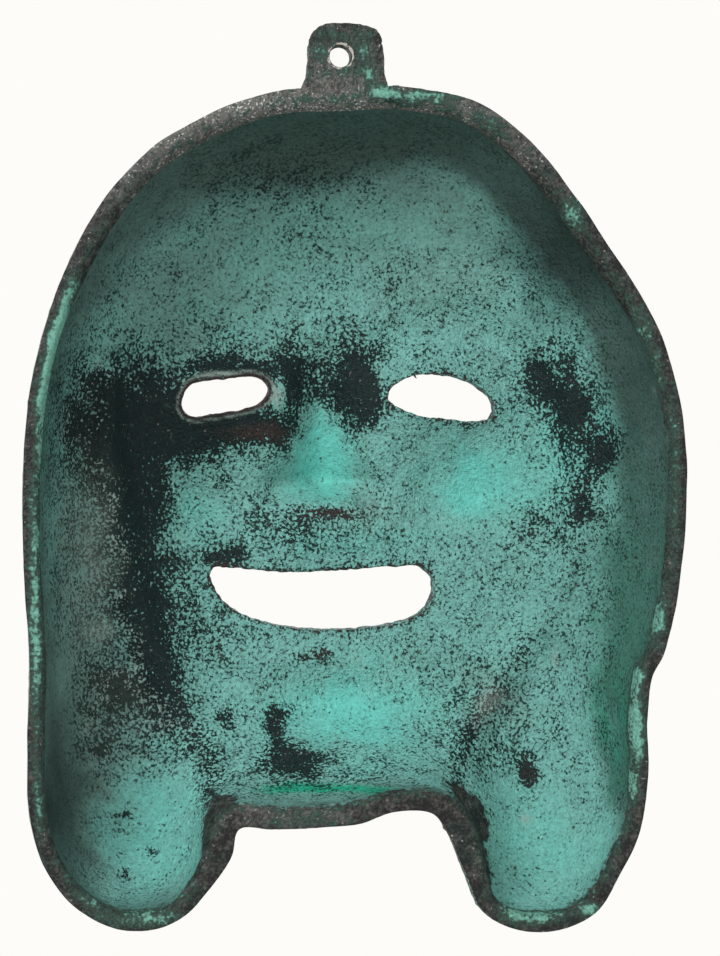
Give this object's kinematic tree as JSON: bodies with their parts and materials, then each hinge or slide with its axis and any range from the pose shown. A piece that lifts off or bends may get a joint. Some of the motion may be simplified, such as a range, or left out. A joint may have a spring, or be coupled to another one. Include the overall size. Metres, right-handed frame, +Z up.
{
  "type": "greek theatre mask",
  "caption": "Hollow cast-bronze wall mask of a grinning comic face with twisted hair, eye and mouth slots and a drilled hanging lug.",
  "frame": {"origin": "centre of the nail hole in the hanging lug, on the rear plane that lies against the wall", "axes": "+Z up, the face looks along -Y, +Y points into the wall, +X to the right seen from the front"},
  "size_m": [0.1477, 0.0577, 0.2009],
  "materials": {
    "patinated_bronze": "matt verdigris patina over dark brown bronze, rubbed bare along the rim and high spots"
  },
  "bodies": {
    "root": {"mask_casting": "patinated_bronze"}
  },
  "joints": []
}
